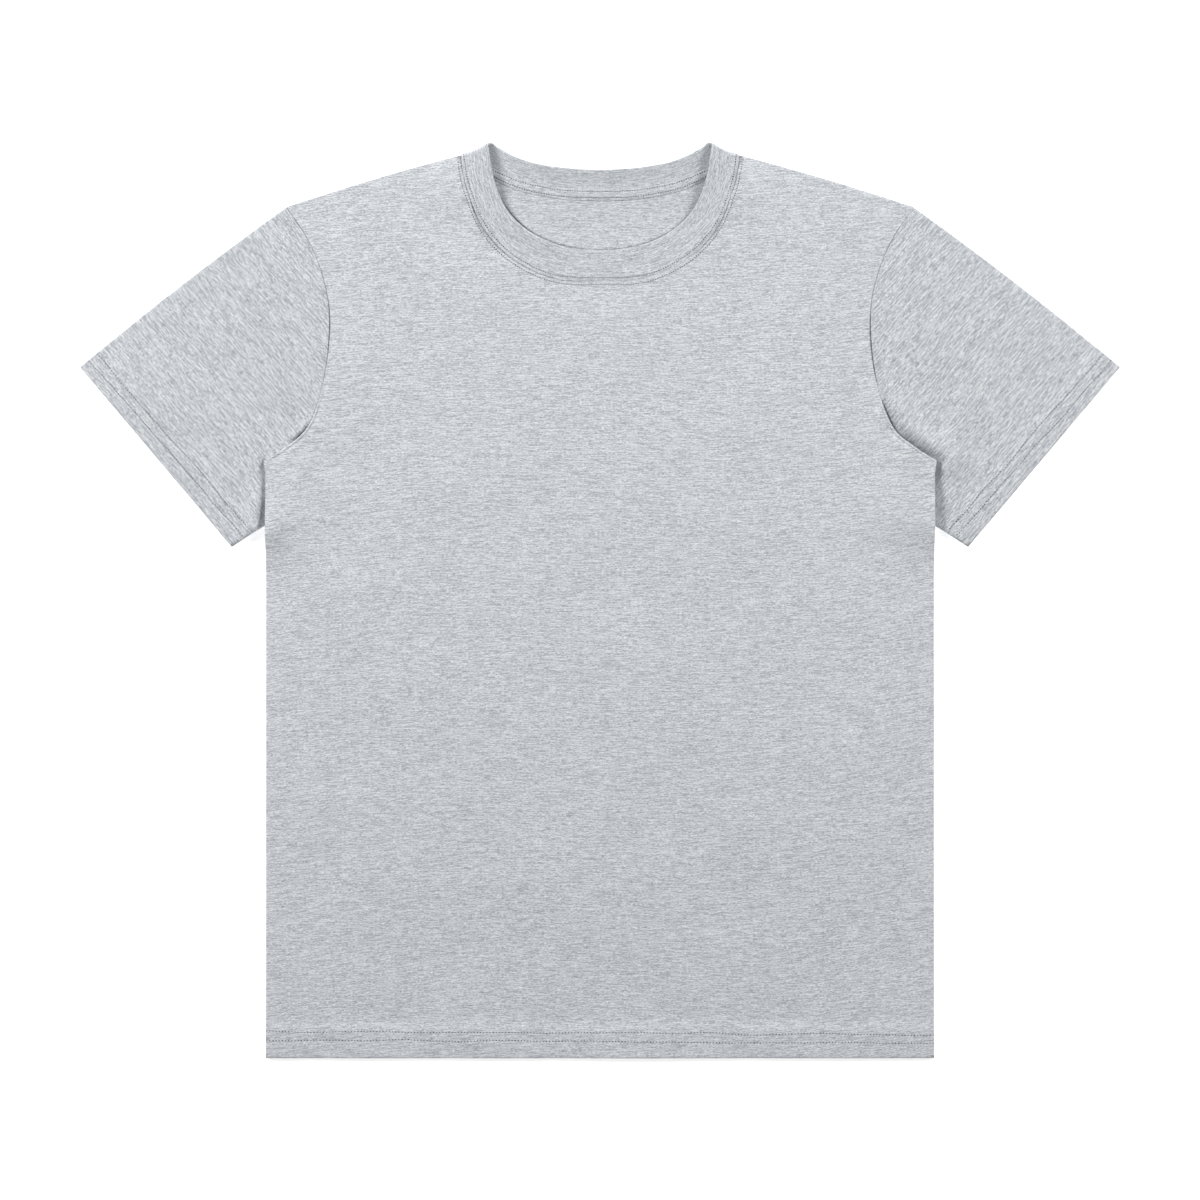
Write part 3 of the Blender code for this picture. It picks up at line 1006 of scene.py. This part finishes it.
# How far each row of stitches lies from the cuff's edge, at its lower end and at its upper end
CUFF_ROWS = ((0.0122, 0.0086), (0.0196, 0.0162))
CUFF_ROW_ENDS = (0.008, 0.992)
CUFF_ROW_POINTS = 60
CUFF_WANDER_LENGTH = 0.05

# The lower layer lies elsewhere on the sleeve's map, so its fibres don't match the upper one's
UNDER_LAYER_SHIFT = (0.7, 0.3)

# How the sleeve climbs to the body's edge at their seam, and the air under its upper layer
SEAM_CLIMB_WIDTH = 0.0011
SEAM_STEP = 0.0002
SLEEVE_AIR = 0.0009
SLEEVE_CREASES = [
    Crease(-0.327, 0.112, 30, 0.020, 0.0080, -0.0006),
    Crease(-0.262, 0.118, 42, 0.022, 0.0060, -0.0003),
    Crease(-0.285, 0.090, 60, 0.024, 0.0090, 0.0005),
    Crease(-0.255, 0.235, 70, 0.030, 0.0090, 0.0004),
    Crease(0.318, 0.150, -52, 0.030, 0.0090, -0.0004),
    Crease(0.250, 0.210, 80, 0.036, 0.0080, -0.0004),
]

# How open the seam lies along the armhole, where 1 is fully, and how the sleeve rolls into it
SEAM_OPENINGS = [
    Lift(-0.2283, 0.1275, 0.0085, 1.5),
    Lift(-0.2460, 0.1130, 0.0090, 0.20),
    Lift(-0.2575, 0.1045, 0.0050, 0.7),
    Lift(0.2180, 0.1480, 0.0130, 0.9),
    Lift(0.2290, 0.1300, 0.0150, 1.3),
    Lift(0.2440, 0.1170, 0.0150, 1.3),
    Lift(0.2590, 0.1060, 0.0140, 1.3),
]
SLEEVE_ROLLS = {-1: Roll(0.0026, 0.010, 0.0022), 1: Roll(0.0075, 0.022, 0.0042)}

# How the sleeve rolls down under the body's edge, most at the bottom, and how high up it does so
UNDERARM_ROLLS = {-1: Roll(0.0085, 0.014, 0.0052), 1: Roll(0.0135, 0.022, 0.0010)}
ROLL_ROWS = (0.0, 0.0012, 0.0026, 0.0042, 0.0060, 0.0080, 0.0105, 0.0135)
ROLL_FULL_Y = 0.062
ROLL_FADE = {-1: 0.036, 1: 0.070}

# A cuff's beads of painted hole shade are wider than the hem's
CUFF_STITCH = HEM_STITCH._replace(hole=Bead(0.0013, 0.00095, 0.00030, 0.00012))

cuff_way = np.subtract(CUFF_TOP, CUFF_BOTTOM)
cuff_along = cuff_way / np.linalg.norm(cuff_way)
cuff_inward = np.array([-cuff_along[1], cuff_along[0]])


def sleeve_layers(points):
    """2 in the cuff's hem, where the cloth is turned in, and 1 above it."""
    return 1 + fade((points - CUFF_BOTTOM) @ cuff_inward, CUFF_DEPTH, HEM_STEP)


def cuff_rows(seed):
    """A cuff's two rows of stitches, as far from its edge at each end as CUFF_ROWS says."""
    share = np.linspace(*CUFF_ROW_ENDS, CUFF_ROW_POINTS)[:, None]
    rows = []
    for number, (low, high) in enumerate(CUFF_ROWS):
        line = CUFF_BOTTOM + cuff_way * share
        wander = HEM_WANDER * waves(line, CUFF_WANDER_LENGTH, seed + number)[:, None]
        rows.append(line + cuff_inward * (low + (high - low) * share + wander))
    return rows


def rolled(distance, reach):
    """A rounded edge's height: 0 at the edge, where it is steepest, up to 1 beyond its reach."""
    return np.sin(math.pi / 2 * np.clip(distance / reach, 0, 1))


def sleeve_top(points, side, rows):
    """The sleeve's upper surface. It climbs to the body's edge at the armhole seam."""
    signed = points * (side, 1)
    in_cuff = fade((points - CUFF_BOTTOM) @ cuff_inward, CUFF_DEPTH / 2, CUFF_DEPTH / 2)
    length, height = PUCKERS
    squeezed = np.column_stack([points @ cuff_along, points @ cuff_inward * PUCKER_STRETCH])
    relief = wavy(signed, seed=13) + creased(signed, SLEEVE_CREASES)
    relief += height * in_cuff * waves(squeezed, length, seed=33 + side)
    flat = 2 * CLOTH * sleeve_layers(points) + GAP
    level = flat + SLEEVE_AIR + np.maximum(relief, -SLEEVE_AIR) - grooved(points, rows)
    roll = UNDERARM_ROLLS[side]
    beyond = points[:, 0] - HALF_CHEST
    rising = rolled(beyond, roll.crest)
    below = fade(points[:, 1], ROLL_FULL_Y, ROLL_FADE[side])
    level += roll.rise * below * rising * fade(beyond, roll.crest, roll.back)
    tucked = (1 - rising) * fade(points[:, 1], UNDERARM[1], SEAM_CLIMB_WIDTH)
    level += (flat - GAP - level) * tucked
    opened = np.clip(lifted(signed, SEAM_OPENINGS), 0, 1) * (1 - tucked)
    distance = away(points, armhole_seam)
    roll = SLEEVE_ROLLS[side]
    risen = rolled(distance, roll.crest)
    level += opened * roll.rise * risen * fade(distance, roll.crest, roll.back)
    level += opened * (1 - risen) * (flat - GAP - level)
    climb = np.maximum(front_level(signed) - SEAM_STEP - level, 0) * (1 - opened) * (1 - tucked)
    level += climb * np.exp(-(distance / SEAM_CLIMB_WIDTH) ** 2)
    level += ridged(points, armhole_seam, SEAM_RIDGES[:1]) * (1 - opened)
    return np.maximum(level, flat - GAP)


def sleeve(name, side):
    """A flattened tube: two layers of cloth joined by a rounded fold along each long side."""
    armhole = beside(armhole_seam, SEAM)
    cuff = np.array([CUFF_BOTTOM, CUFF_TOP])
    tucked = evenly([armhole[-1], TUCK], SPACING)
    under_fold = np.vstack([tucked, evenly([TUCK, CUFF_BOTTOM], SPACING)[1:]])
    cuff_edge = evenly(cuff, SPACING)[1:-1]
    top_fold = evenly(bowed(CUFF_TOP, armhole[0], -SLEEVE_TOP_BOW), SPACING)
    outline = np.vstack([under_fold, cuff_edge, top_fold, evenly(armhole, SPACING)[1:-1]])
    stitch_rows = cuff_rows(seed=50 + side)
    rows = inner_rows([cuff, armhole], outline) + beside_rows(stitch_rows)
    for distance in ROLL_ROWS:
        x = HALF_CHEST + distance
        row = evenly([(x, CUFF_BOTTOM[1]), (x, UNDERARM[1])], SPACING / 2)
        rows.append(row[away(row, closed(outline)) > CLEAR * SPACING])
    rows = [row[away(row, closed(outline)) > EDGE_ROWS[0] * ROW_CLEAR] for row in rows]
    points, flat = filled(outline, rows)

    on_under, on_top = len(under_fold), len(top_fold)
    first_top = on_under + len(cuff_edge)
    places = points.copy()
    places[:on_under] = beside(under_fold, FOLD_ROUND)
    places[first_top:first_top + on_top] = beside(top_fold, FOLD_ROUND)
    edge = edge_drop(away(places, cuff))
    tops = sleeve_top(places, side, stitch_rows) - edge
    bottoms = edge + grooved(places, stitch_rows)
    count = len(points)
    vertices = [np.column_stack([places, bottoms]), np.column_stack([places, tops])]
    faces = [[*face[::-1]] for face in flat] + [[*(face + count)] for face in flat]
    total = 2 * count
    for first, line in ((0, under_fold), (first_top, top_fold)):
        for turn in FOLD_TURNS:
            turn = math.radians(turn)
            low = bottoms[first:first + len(line)]
            high = tops[first:first + len(line)]
            row = beside(line, FOLD_ROUND * (1 - math.cos(turn)))
            height = (low + high + (high - low) * math.sin(turn)) / 2
            vertices.append(np.column_stack([row, height]))
        starts = [first, *(total + step * len(line) for step in range(len(FOLD_TURNS))), first + count]
        for low, high in zip(starts, starts[1:]):
            for a in range(len(line) - 1):
                faces.append([low + a, low + a + 1, high + a + 1])
                faces.append([low + a, high + a + 1, high + a])
        total += len(line) * len(FOLD_TURNS)
    vertices = np.vstack(vertices)
    faces = np.array(faces)
    if side < 0:
        faces = faces[:, ::-1]
    from_cuff = vertices[:, :2] - CUFF_BOTTOM
    own = np.column_stack([from_cuff @ cuff_along, from_cuff @ cuff_inward])
    own[:count] += UNDER_LAYER_SHIFT
    layers = sleeve_layers(vertices[:, :2]) / 2
    shift = (6.0 + side, 4.0)
    made = sheet(
        name, vertices * (side, 1, 1), faces, (own + shift)[faces], sleeve_jersey, layers
    )
    thickened(made, -1)
    return made, stitch_rows


sleeve_jersey = heather(
    "heather sleeve jersey", tone=0.945, drift=0.0028, fineness=0.9, contrast=1.25
)
for name, side, seed in (("right", -1, 9), ("left", 1, 13)):
    piece, rows = sleeve(f"{name}_sleeve", side)
    paths = [lying(piece, row * (side, 1), up) for row in rows for up in (1, -1)]
    cuff_stitches = threads_and_hole_shades(f"{name}_cuff", paths, CUFF_STITCH, seed)
    on_body(piece, f"sleeve_{name}", cuff_stitches)


# ---- Neckband -------------------------------------------------------------------------------
# The neckband is a folded strip of rib in the same yarn, sewn on as a ring. It lies flat at the
# front, folds over at each side of the neck, and stands up a little at the back.

BAND_SHARES = (0, 0.02, 0.05, 0.09, 0.14, 0.2, 0.28, 0.38, 0.5, 0.62, 0.74, 0.84, 0.91, 0.955, 0.985, 1)
BAND_HALF = 0.00085
BAND_SEAM_HALF = 0.00045
BAND_SEAM_REACH = 0.14
BAND_EDGE_ROUND = 0.045
BAND_CURL = 1.7
BAND_WIDTH = 0.0235
BAND_ROW = NECK_ROW / BAND_WIDTH
BAND_STITCH_RISE = 0.00003
FOLD_DIP = 0.0016
FOLD_DIP_REACH = 0.010

# Where the band's free edge stands off the back at the front of the neck
BAND_LIFTS = [
    Lift(-0.062, 0.288, 0.018, 0.0014),
    Lift(-0.042, 0.275, 0.013, 0.0020),
    Lift(-0.001, 0.267, 0.006, 0.0009),
    Lift(0.026, 0.270, 0.012, 0.0008),
    Lift(0.052, 0.281, 0.012, 0.0005),
]


def band_middle(shares):
    """The middle surface of the ring at these shares of its width: [station, share, xyz]."""
    half = ring_half()
    other = half[-2:0:-1] * MIRRORED
    stations = np.vstack([half, other])
    share = np.array(shares)[:, None]
    seam, edge = stations[:, None, :3], stations[:, None, 3:]
    middle = seam + (edge - seam) * share
    middle[..., 2] = seam[..., 2] + (edge[..., 2] - seam[..., 2]) * share[:, 0] ** BAND_CURL
    front = np.ones(len(stations))
    front[front_stations:len(stations) - front_stations + 1] = 0
    lifts = lifted(middle[..., :2].reshape(-1, 2), BAND_LIFTS).reshape(middle.shape[:2])
    middle[..., 2] += lifts * share[:, 0] ** 2 * front[:, None]
    from_fold = np.linalg.norm(one_side(seam[:, 0, :2]) - front_seam[-1], axis=1)
    dip = FOLD_DIP * np.exp(-(from_fold / FOLD_DIP_REACH) ** 2)
    middle[..., 1] -= dip[:, None] * np.sin(math.pi * share[:, 0])
    return middle


def band_normals(middle):
    along = np.roll(middle, -1, axis=0) - np.roll(middle, 1, axis=0)
    across = np.gradient(middle, axis=1)
    out = np.cross(along, across)
    return out / np.linalg.norm(out, axis=2)[..., None]


def band_half_thickness(shares):
    """Half the band's thickness across its width: thin at the seam and round at the fold."""
    share = np.array(shares)
    body = BAND_SEAM_HALF + (BAND_HALF - BAND_SEAM_HALF) * (1 - fade(share, 0, BAND_SEAM_REACH))
    edge = np.clip(1 - (1 - share) / BAND_EDGE_ROUND, 0, 1)
    return body * np.sqrt(1 - edge**2)


def neckband():
    middle = band_middle(BAND_SHARES)
    out = band_normals(middle) * band_half_thickness(BAND_SHARES)[:, None]
    loops = np.concatenate([middle + out, (middle - out)[:, -2::-1]], axis=1)
    stations, around = loops.shape[:2]
    i, k = np.indices((stations, around)).reshape(2, -1)
    next_i, next_k = (i + 1) % stations, (k + 1) % around
    faces = np.column_stack([
        i * around + k, next_i * around + k, next_i * around + next_k, i * around + next_k
    ])
    join = front_stations + FOLD_STEPS // 2
    edge_line = closed(np.roll(middle[:, len(BAND_SHARES) // 2], -join, axis=0))
    turn = (i - join) % stations
    along = lengths(edge_line)
    across = lengths(closed(loops[0]))
    places = np.stack([
        np.column_stack([along[turn], across[k]]),
        np.column_stack([along[turn + 1], across[k]]),
        np.column_stack([along[turn + 1], across[k + 1]]),
        np.column_stack([along[turn], across[k + 1]]),
    ], axis=1)
    shift = (8.0, 6.0)
    return sheet("neckband", loops.reshape(-1, 3), faces, places + shift, rib)


rib = heather("heather rib", tone=0.965, drift=0.0006)
band = neckband()

shares = (0.0, BAND_ROW, 2 * BAND_ROW)
band_surface = band_middle(shares)
band_out = band_normals(band_surface)[:, 1]
on_band = band_surface[:, 1] + band_out * (band_half_thickness(shares)[1] + BAND_STITCH_RISE)
band_row = closed(np.column_stack([on_band, band_out]))
band_stitches = threads_and_hole_shades("neckband", [band_row], NECK_STITCH, seed=21)
on_body(band, "collar", band_stitches)


# ---- Back neck tape -------------------------------------------------------------------------
# A narrow strip of the same jersey covers the back neck seam inside, from near one shoulder seam
# to the other. Its two long edges are turned under and stitched down.

TAPE_HALF_WIDTH = 0.0045
TAPE_END = 0.80
TAPE_RISE = 0.0002
TAPE_LAYER = 0.22
TAPE_ROWS = (0.27, 0.80)
TAPE_ACROSS = (0, 0.04, 0.1, 0.2, 0.27, 0.35, 0.5, 0.65, 0.73, 0.80, 0.88, 0.96, 1)
TAPE_WAVE_LENGTH = 0.006
TAPE_WAVE_RISE = 0.00004
TAPE_GROOVE_WIDTH = 0.07
TAPE_GROOVE_DEPTH = 0.00008
TAPE_EDGE_ROUND = 0.08
TAPE_EDGE_DROP = 0.00025


def tape_middle():
    """The tape's lower surface: [station, place across, xyz]. It lies on the band and the back."""
    half = ring_half()[front_stations + FOLD_STEPS:]
    half = half[round(len(half) * (1 - TAPE_END)):]
    stations = np.vstack([half, half[-2::-1] * MIRRORED])
    seam, edge = stations[:, :3], stations[:, 3:]
    way = edge - seam
    width = np.linalg.norm(way[:, :2], axis=1)[:, None]
    up = way * (1, 1, 0) / width
    rows = []
    for place in TAPE_ACROSS:
        distance = (place - 0.5) * 2 * TAPE_HALF_WIDTH
        share = np.maximum(distance / width, 0)
        row = seam + up * distance
        climb = way[:, 2:] * share**BAND_CURL
        on_band = (seam[:, 2:] + climb)[:, 0] + BAND_SEAM_HALF + TAPE_RISE
        on_back = fade(-distance, 0, TAPE_HALF_WIDTH)
        row[:, 2] = CLOTH + SEAM + (on_band - CLOTH - SEAM) * on_back
        rows.append(row)
    return np.stack(rows, axis=1)


def neck_tape():
    surface = tape_middle()
    stations, across = surface.shape[:2]
    uneven = waves(surface[..., :2].reshape(-1, 2), TAPE_WAVE_LENGTH, seed=71)
    uneven = TAPE_WAVE_RISE * uneven.reshape(stations, across)
    surface[..., 2] += 2 * CLOTH * TAPE_LAYER + uneven
    place = np.array(TAPE_ACROSS)
    for row in TAPE_ROWS:
        near = np.exp(-((place - row) / TAPE_GROOVE_WIDTH) ** 2)
        surface[..., 2] -= TAPE_GROOVE_DEPTH * near
    edge = np.minimum(place, 1 - place)
    surface[..., 2] -= TAPE_EDGE_DROP * np.clip(1 - edge / TAPE_EDGE_ROUND, 0, 1) ** 2
    i, k = np.indices((stations - 1, across - 1)).reshape(2, -1)
    faces = np.column_stack([
        i * across + k, i * across + k + 1, (i + 1) * across + k + 1, (i + 1) * across + k
    ])
    along = lengths(surface[:, across // 2])
    own = np.stack(np.meshgrid(along, place * 2 * TAPE_HALF_WIDTH, indexing="ij"), axis=2)
    shift = (10.0, 7.0)
    made = sheet(
        "back_neck_tape",
        surface.reshape(-1, 3),
        faces,
        (own.reshape(-1, 2) + shift)[faces],
        tape_jersey,
        np.full(stations * across, TAPE_LAYER),
    )
    thickened(made, -1)
    return made


tape_jersey = heather("heather tape jersey", tone=0.97, drift=0.0004)
tape = neck_tape()

tape_surface = tape_middle()
tape_columns = [int(np.argmin(np.abs(np.array(TAPE_ACROSS) - place))) for place in TAPE_ROWS]
tape_paths = [lying(tape, tape_surface[:, column, :2]) for column in tape_columns]
tape_stitches = threads_and_hole_shades("tape", tape_paths, NECK_STITCH, seed=25)
on_body(tape, "neck_tape", tape_stitches)


# ---- Floor, light and camera ------------------------------------------------------------------
# A white floor under soft studio light: two round softboxes beyond the neck, to the left and the
# right as the camera sees them, and an even white sky. The camera looks straight down.

CAMERA_HEIGHT = 2.1685
LENS = 85
SENSOR = 36
FLOOR_SIZE = 12.0
FLOOR_ROUGHNESS = 0.80
FLOOR_GRAIN = 0.1
FLOOR_GRAIN_SCALE = 3.0
FLOOR_WHITE = {
    "Base Color": (0.97, 0.97, 0.97, 1), "Emission Color": (1.0, 1.0, 1.0, 1),
    "Emission Strength": 0.60, "Specular IOR Level": 0.1,
}
AIM = (0.0, 0.10, 0.0)
SKY = 0.26
LAMP_SIZE = 1.0
Lamp = namedtuple("Lamp", "name x y z power")
LAMPS = [
    Lamp("left softbox", -1.85, 1.10, 1.5, 51.5),
    Lamp("right softbox", 1.85, 1.10, 1.5, 43.0),
]

floor_mesh = bpy.data.meshes.new("floor")
half = FLOOR_SIZE / 2
floor_mesh.from_pydata(
    [(-half, -half, -GAP), (half, -half, -GAP), (half, half, -GAP), (-half, half, -GAP)],
    [],
    [(0, 1, 2, 3)],
)
floor = added("floor", floor_mesh)
floor_look, floor_shader, floor_start = material("white floor", FLOOR_WHITE)
floor_place = floor_start.node("ShaderNodeTexCoord", output="Object")
floor_grain = floor_place.noise(FLOOR_GRAIN_SCALE)
(FLOOR_ROUGHNESS + floor_grain * FLOOR_GRAIN).to(floor_shader.inputs["Roughness"])
floor_mesh.materials.append(floor_look)

for lamp in LAMPS:
    light = bpy.data.lights.new(lamp.name, "AREA")
    light.shape = "DISK"
    light.size = LAMP_SIZE
    light.energy = lamp.power
    stand = added(lamp.name, light)
    stand.location = (lamp.x, lamp.y, lamp.z)
    stand.rotation_euler = (Vector(AIM) - stand.location).to_track_quat("-Z", "Y").to_euler()

world = bpy.data.worlds.new("studio")
world.use_nodes = True
world.node_tree.nodes["Background"].inputs["Color"].default_value = (1.0, 1.0, 1.0, 1.0)
world.node_tree.nodes["Background"].inputs["Strength"].default_value = SKY
bpy.context.scene.world = world

view = bpy.data.cameras.new("camera")
view.lens = LENS
view.sensor_width = SENSOR
camera = added("camera", view)
camera.location = (0.0, 0.0, CAMERA_HEIGHT)
bpy.context.scene.camera = camera
bpy.context.scene.view_settings.view_transform = "Standard"
